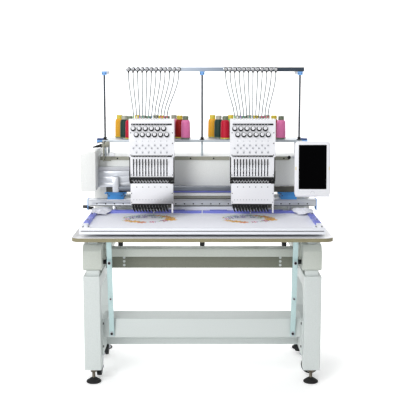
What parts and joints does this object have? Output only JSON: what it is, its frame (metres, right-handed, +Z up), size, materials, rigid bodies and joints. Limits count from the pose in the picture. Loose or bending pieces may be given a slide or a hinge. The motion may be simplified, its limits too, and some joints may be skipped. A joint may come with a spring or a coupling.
{
  "type": "multi-needle embroidery machine",
  "caption": "Two-head multi-needle embroidery machine on a castered stand, with border frame, thread tree and control panel.",
  "frame": {"origin": "on the floor under the middle of the machine's box", "axes": "+X to the operator's right, +Y from the operator towards the machine's back, +Z up; the operator stands at -Y"},
  "size_m": [1.268, 0.96, 1.5136],
  "materials": {
    "stand_paint": "satin pale grey powder coat",
    "machine_paint": "satin off-white enamel",
    "table_board": "pale grey laminate with an olive-brown edge strip",
    "rubber_black": "matt black rubber",
    "foot_rubber": "matt black rubber pad on a zinc plated rod",
    "steel_plain": "ground steel",
    "chrome": "polished chrome",
    "aluminium_rail": "natural anodised extrusion",
    "white_plastic": "semi-gloss white moulding",
    "black_plastic": "matt black plastic",
    "blue_plastic": "satin sky-blue moulding",
    "violet_plastic": "satin violet-blue extrusion",
    "screen_glass": "gloss black screen",
    "tube_plastic": "clear flexible tube",
    "thread": "wound embroidery thread in several colours",
    "cloth_white": "white woven cloth with stitched floral wreaths",
    "caster_tyre": "black tread on a grey hub",
    "motor_black": "black motor housing"
  },
  "bodies": {
    "machine": {"stand_frame_left": "stand_paint", "stand_frame_right": "stand_paint", "stand_lower_beam": "stand_paint", "table_struts": "stand_paint", "bed_side_rails": "stand_paint", "bed_cross_beam": "stand_paint", "rubber_bumpers": "rubber_black", "table_top": "table_board", "rear_housing": "machine_paint", "bridge_beam": "machine_paint", "bridge_front_cover": "machine_paint", "slide_rail_profile": "aluminium_rail", "colour_change_box": "machine_paint", "right_end_box": "machine_paint", "main_motor": "motor_black", "head_arms": "machine_paint", "cylinder_arms": "machine_paint", "needle_plates": "steel_plain", "thread_shelf": "machine_paint", "thread_tree": "steel_plain", "guide_discs": "chrome", "thread_tubes": "tube_plastic", "thread_cones": "thread", "cone_pins": "steel_plain", "bobbin_winder": "machine_paint"},
    "needle_cases": {"needle_cases": "machine_paint", "tension_panels": "white_plastic", "tension_knobs": "black_plastic", "take_up_panels": "white_plastic", "lower_covers": "white_plastic", "parked_needle_bars": "chrome", "parked_take_up_levers": "steel_plain"},
    "needle_bar_left": {"needle_bar_left": "chrome"},
    "needle_bar_right": {"needle_bar_right": "chrome"},
    "take_up_left": {"take_up_lever_left": "steel_plain"},
    "take_up_right": {"take_up_lever_right": "steel_plain"},
    "main_shaft": {"main_shaft": "steel_plain"},
    "hook_left": {"rotary_hook_left": "chrome"},
    "hook_right": {"rotary_hook_right": "chrome"},
    "carriage": {"x_beam": "aluminium_rail", "carriage_covers": "blue_plastic"},
    "sash": {"sash_bars": "aluminium_rail", "cloth_clips": "violet_plastic", "cloth": "cloth_white"},
    "winder_spindle": {"winder_spindle": "black_plastic"},
    "panel": {"control_panel": "white_plastic", "panel_screen": "screen_glass"},
    "home_button": {"home_button": "white_plastic"},
    "foot_front_left": {"levelling_foot_front_left": "foot_rubber"},
    "fork_front_left": {"caster_fork_front_left": "steel_plain"},
    "wheel_front_left": {"caster_wheel_front_left": "caster_tyre"},
    "foot_front_right": {"levelling_foot_front_right": "foot_rubber"},
    "fork_front_right": {"caster_fork_front_right": "steel_plain"},
    "wheel_front_right": {"caster_wheel_front_right": "caster_tyre"},
    "foot_rear_left": {"levelling_foot_rear_left": "foot_rubber"},
    "fork_rear_left": {"caster_fork_rear_left": "steel_plain"},
    "wheel_rear_left": {"caster_wheel_rear_left": "caster_tyre"},
    "foot_rear_right": {"levelling_foot_rear_right": "foot_rubber"},
    "fork_rear_right": {"caster_fork_rear_right": "steel_plain"},
    "wheel_rear_right": {"caster_wheel_rear_right": "caster_tyre"}
  },
  "joints": [
    {"name": "needle_case_shift", "type": "slide", "parent": "machine", "child": "needle_cases", "axis": [1, 0, 0], "range_m": [-0.075, 0.09], "deforming": ["thread_tubes"]},
    {"name": "needle_bar_left_stroke", "type": "slide", "parent": "needle_cases", "child": "needle_bar_left", "axis": [0, 0, 1], "range_m": [-0.06, 0], "stiffness_N_per_m": 40, "springref_m": 0.05, "deforming": ["cloth"]},
    {"name": "needle_bar_right_stroke", "type": "slide", "parent": "needle_cases", "child": "needle_bar_right", "axis": [0, 0, 1], "range_m": [-0.06, 0], "stiffness_N_per_m": 40, "springref_m": 0.05, "deforming": ["cloth"]},
    {"name": "take_up_left_swing", "type": "hinge", "parent": "needle_cases", "child": "take_up_left", "pos_m": [-0.25, -0.092, 1.02], "axis": [1, 0, 0], "range_deg": [0, 70]},
    {"name": "take_up_right_swing", "type": "hinge", "parent": "needle_cases", "child": "take_up_right", "pos_m": [0.25, -0.092, 1.02], "axis": [1, 0, 0], "range_deg": [0, 70]},
    {"name": "main_shaft_turn", "type": "hinge", "parent": "machine", "child": "main_shaft", "pos_m": [0, 0.15, 0.935], "axis": [1, 0, 0], "continuous": true},
    {"name": "hook_left_turn", "type": "hinge", "parent": "machine", "child": "hook_left", "pos_m": [-0.25, 0, 0.7], "axis": [0, 1, 0], "continuous": true},
    {"name": "hook_right_turn", "type": "hinge", "parent": "machine", "child": "hook_right", "pos_m": [0.25, 0, 0.7], "axis": [0, 1, 0], "continuous": true},
    {"name": "carriage_travel", "type": "slide", "parent": "machine", "child": "carriage", "axis": [0, 1, 0], "range_m": [-0.11, 0.17]},
    {"name": "sash_travel", "type": "slide", "parent": "carriage", "child": "sash", "axis": [1, 0, 0], "range_m": [-0.25, 0.25]},
    {"name": "winder_turn", "type": "hinge", "parent": "machine", "child": "winder_spindle", "pos_m": [-0.509, 0.087, 1.114], "axis": [-0.9781, 0, -0.2079], "continuous": true},
    {"name": "panel_tilt", "type": "hinge", "parent": "machine", "child": "panel", "pos_m": [0.58, -0.09, 1], "axis": [1, 0, 0], "range_deg": [-10, 15]},
    {"name": "home_button_press", "type": "slide", "parent": "panel", "child": "home_button", "axis": [0, 0.9962, -0.0872], "range_m": [0, 0.001], "stiffness_N_per_m": 300},
    {"name": "foot_front_left_adjust", "type": "slide", "parent": "machine", "child": "foot_front_left", "axis": [0, 0, 1], "range_m": [-0.02, 0]},
    {"name": "foot_front_right_adjust", "type": "slide", "parent": "machine", "child": "foot_front_right", "axis": [0, 0, 1], "range_m": [-0.02, 0]},
    {"name": "foot_rear_left_adjust", "type": "slide", "parent": "machine", "child": "foot_rear_left", "axis": [0, 0, 1], "range_m": [-0.02, 0]},
    {"name": "foot_rear_right_adjust", "type": "slide", "parent": "machine", "child": "foot_rear_right", "axis": [0, 0, 1], "range_m": [-0.02, 0]},
    {"name": "swivel_front_left", "type": "hinge", "parent": "machine", "child": "fork_front_left", "pos_m": [-0.505, -0.25, 0.1], "axis": [0, 0, 1], "continuous": true},
    {"name": "wheel_front_left_roll", "type": "hinge", "parent": "fork_front_left", "child": "wheel_front_left", "pos_m": [-0.505, -0.278, 0.052], "axis": [-1, 0, 0], "continuous": true},
    {"name": "swivel_front_right", "type": "hinge", "parent": "machine", "child": "fork_front_right", "pos_m": [0.505, -0.25, 0.1], "axis": [0, 0, 1], "continuous": true},
    {"name": "wheel_front_right_roll", "type": "hinge", "parent": "fork_front_right", "child": "wheel_front_right", "pos_m": [0.533, -0.25, 0.052], "axis": [0, -1, 0], "continuous": true},
    {"name": "swivel_rear_left", "type": "hinge", "parent": "machine", "child": "fork_rear_left", "pos_m": [-0.505, 0.074, 0.1], "axis": [0, 0, 1], "continuous": true},
    {"name": "wheel_rear_left_roll", "type": "hinge", "parent": "fork_rear_left", "child": "wheel_rear_left", "pos_m": [-0.505, 0.046, 0.052], "axis": [-1, 0, 0], "continuous": true},
    {"name": "swivel_rear_right", "type": "hinge", "parent": "machine", "child": "fork_rear_right", "pos_m": [0.505, 0.074, 0.1], "axis": [0, 0, 1], "continuous": true},
    {"name": "wheel_rear_right_roll", "type": "hinge", "parent": "fork_rear_right", "child": "wheel_rear_right", "pos_m": [0.51458, 0.10031, 0.052], "axis": [0.9397, -0.342, 0], "continuous": true}
  ],
  "couplings": [
    {"joint": "needle_bar_right_stroke", "follows": "needle_bar_left_stroke", "ratio": 1},
    {"joint": "take_up_left_swing", "follows": "needle_bar_left_stroke", "rad_per_m": -20.3},
    {"joint": "take_up_right_swing", "follows": "needle_bar_left_stroke", "rad_per_m": -20.3},
    {"joint": "hook_left_turn", "follows": "main_shaft_turn", "ratio": 2},
    {"joint": "hook_right_turn", "follows": "main_shaft_turn", "ratio": 2}
  ]
}
